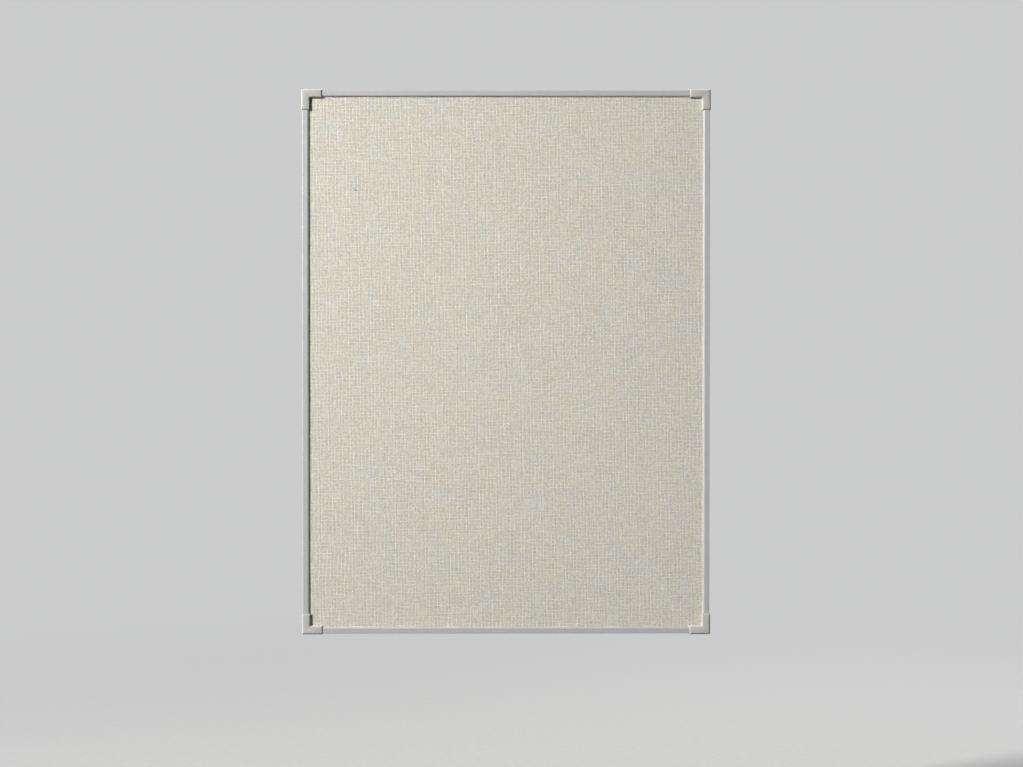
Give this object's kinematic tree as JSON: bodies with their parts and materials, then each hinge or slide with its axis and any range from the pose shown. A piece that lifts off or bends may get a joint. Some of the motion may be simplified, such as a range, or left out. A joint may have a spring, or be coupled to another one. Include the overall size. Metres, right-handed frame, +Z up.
{
  "type": "notice board",
  "caption": "Wall notice board: a linen-faced pin board in a slim satin metal frame with moulded corner caps, hung by swinging D-rings on its back.",
  "frame": {"origin": "on the wall, behind the middle of the board's outline", "axes": "+X right and +Z up as seen from the front; +Y into the wall, so the front faces -Y"},
  "size_m": [0.45, 0.02, 0.6],
  "materials": {
    "linen": "woven linen",
    "soft_board": "raw fibre",
    "hardboard": "screen-marked hardboard",
    "rail_aluminium": "satin anodised",
    "cap_plastic": "fine matte",
    "zinc_steel": "zinc plated",
    "pad_rubber": "matte"
  },
  "bodies": {
    "board": {"top_rail": "rail_aluminium", "bottom_rail": "rail_aluminium", "left_rail": "rail_aluminium", "right_rail": "rail_aluminium", "bottom_left_cap": "cap_plastic", "bottom_right_cap": "cap_plastic", "top_right_cap": "cap_plastic", "top_left_cap": "cap_plastic", "linen_cover": "linen", "pin_board": "soft_board", "backing_board": "hardboard", "bottom_left_cap_screw_a": "zinc_steel", "bottom_left_cap_screw_b": "zinc_steel", "bottom_left_wall_pad": "pad_rubber", "bottom_right_cap_screw_a": "zinc_steel", "bottom_right_cap_screw_b": "zinc_steel", "bottom_right_wall_pad": "pad_rubber", "top_right_cap_screw_a": "zinc_steel", "top_right_cap_screw_b": "zinc_steel", "top_right_wall_pad": "pad_rubber", "top_left_cap_screw_a": "zinc_steel", "top_left_cap_screw_b": "zinc_steel", "top_left_wall_pad": "pad_rubber", "left_hanger_strap": "zinc_steel", "left_hanger_screw_a": "zinc_steel", "left_hanger_screw_b": "zinc_steel", "right_hanger_strap": "zinc_steel", "right_hanger_screw_a": "zinc_steel", "right_hanger_screw_b": "zinc_steel"},
    "left_ring": {"left_hanger_ring": "zinc_steel"},
    "right_ring": {"right_hanger_ring": "zinc_steel"}
  },
  "joints": [
    {"name": "left_ring_swing", "type": "hinge", "parent": "board", "child": "left_ring", "pos_m": [-0.15, -0.00515, 0.264], "axis": [-1, 0, 0], "range_deg": [-6, 180]},
    {"name": "right_ring_swing", "type": "hinge", "parent": "board", "child": "right_ring", "pos_m": [0.15, -0.00515, 0.264], "axis": [-1, 0, 0], "range_deg": [-6, 180]}
  ]
}
